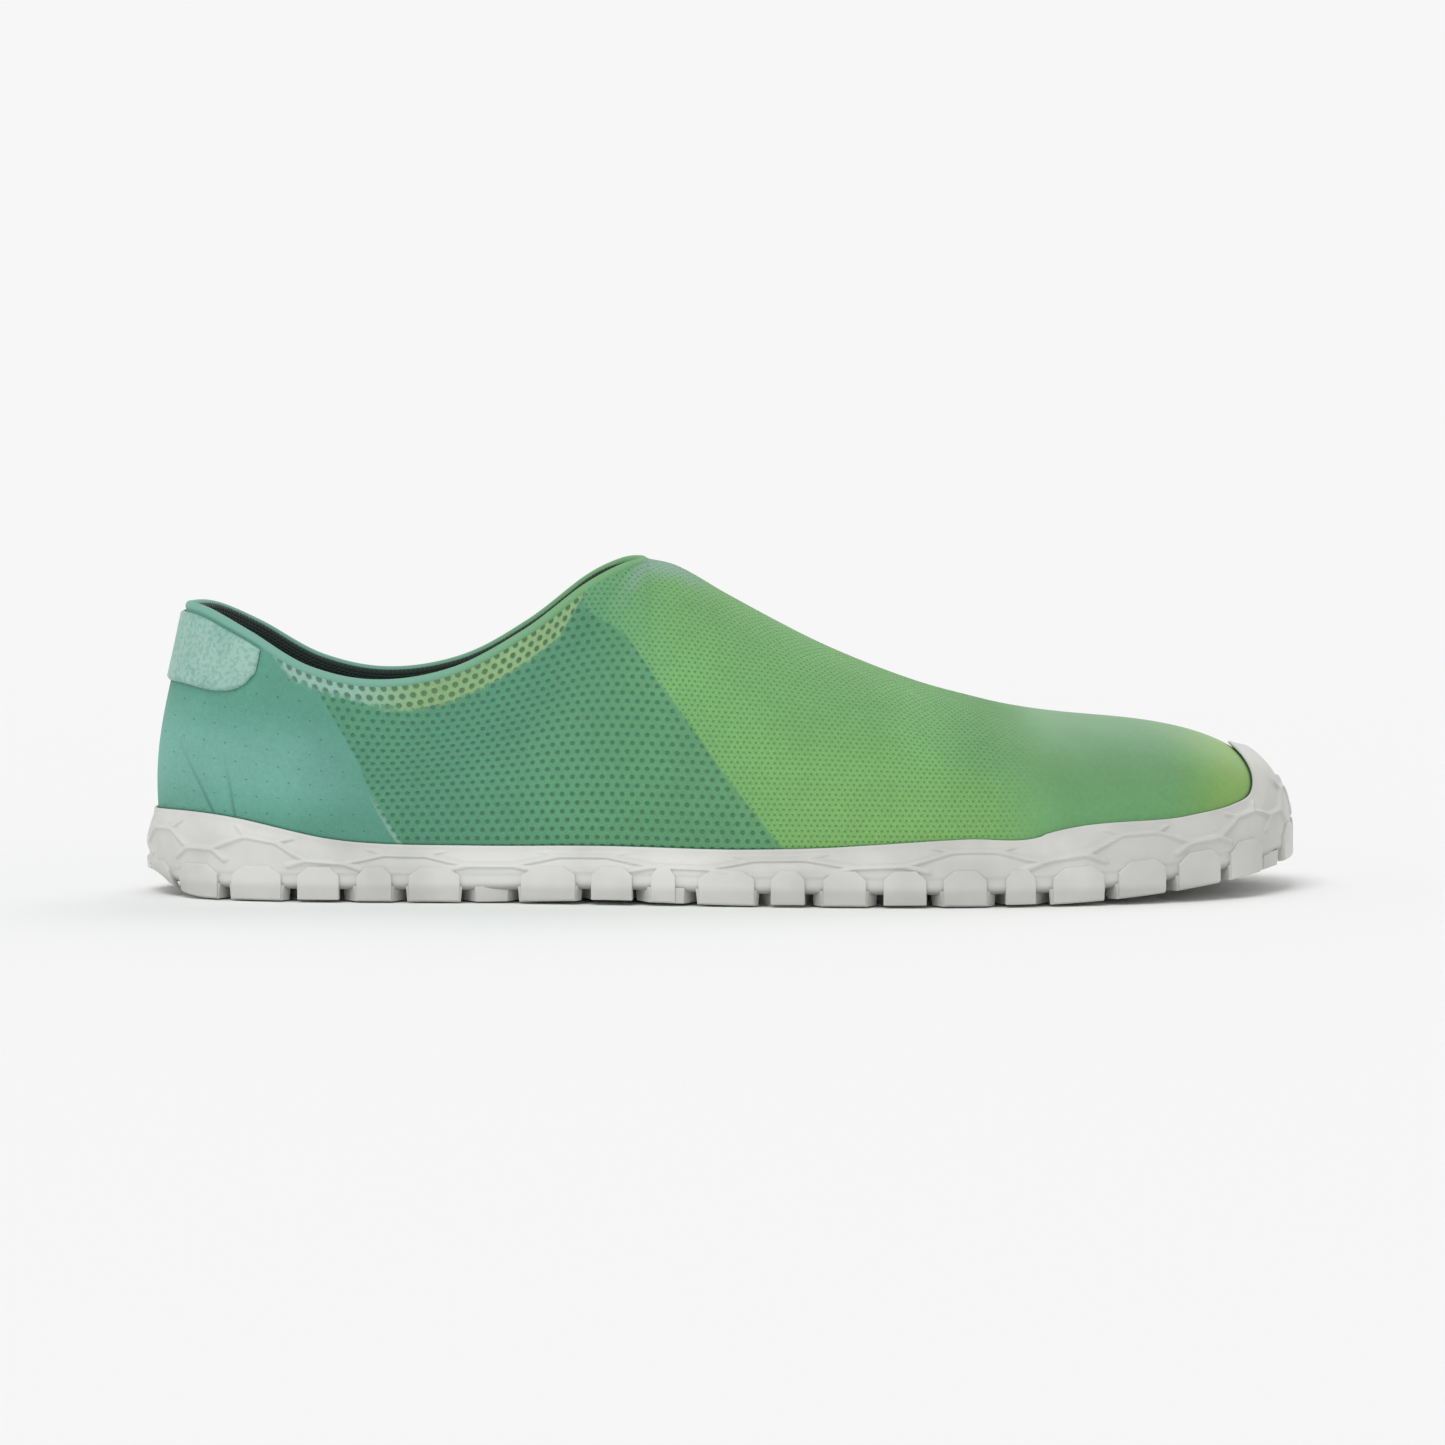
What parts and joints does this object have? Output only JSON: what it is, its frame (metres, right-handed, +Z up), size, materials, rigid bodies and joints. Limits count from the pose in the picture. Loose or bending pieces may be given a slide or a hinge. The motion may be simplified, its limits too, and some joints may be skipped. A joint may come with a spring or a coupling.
{
  "type": "trail running shoe",
  "caption": "Right-foot slip-on trail shoe: thin lugged rubber cup sole, toe guard, knitted sock-like upper open at the collar, flat foam insole.",
  "frame": {"origin": "on the floor under the middle of the shoe's box", "axes": "+X towards the toe, +Y towards the inner (medial) side, -Y towards the outer (lateral) side, +Z up"},
  "size_m": [0.2698, 0.1026, 0.0788],
  "materials": {
    "sole_rubber": "moulded pale grey rubber, satin",
    "upper_knit": "stretch knit, green at the toe to teal at the heel, smooth film over the toe, pores over the middle",
    "insole_foam": "dark textile over thin foam",
    "patch_film": "pale mottled film pressed on the knit"
  },
  "bodies": {
    "root": {"outsole": "sole_rubber", "upper": "upper_knit", "insole": "insole_foam", "heel_patch": "patch_film"}
  },
  "joints": []
}
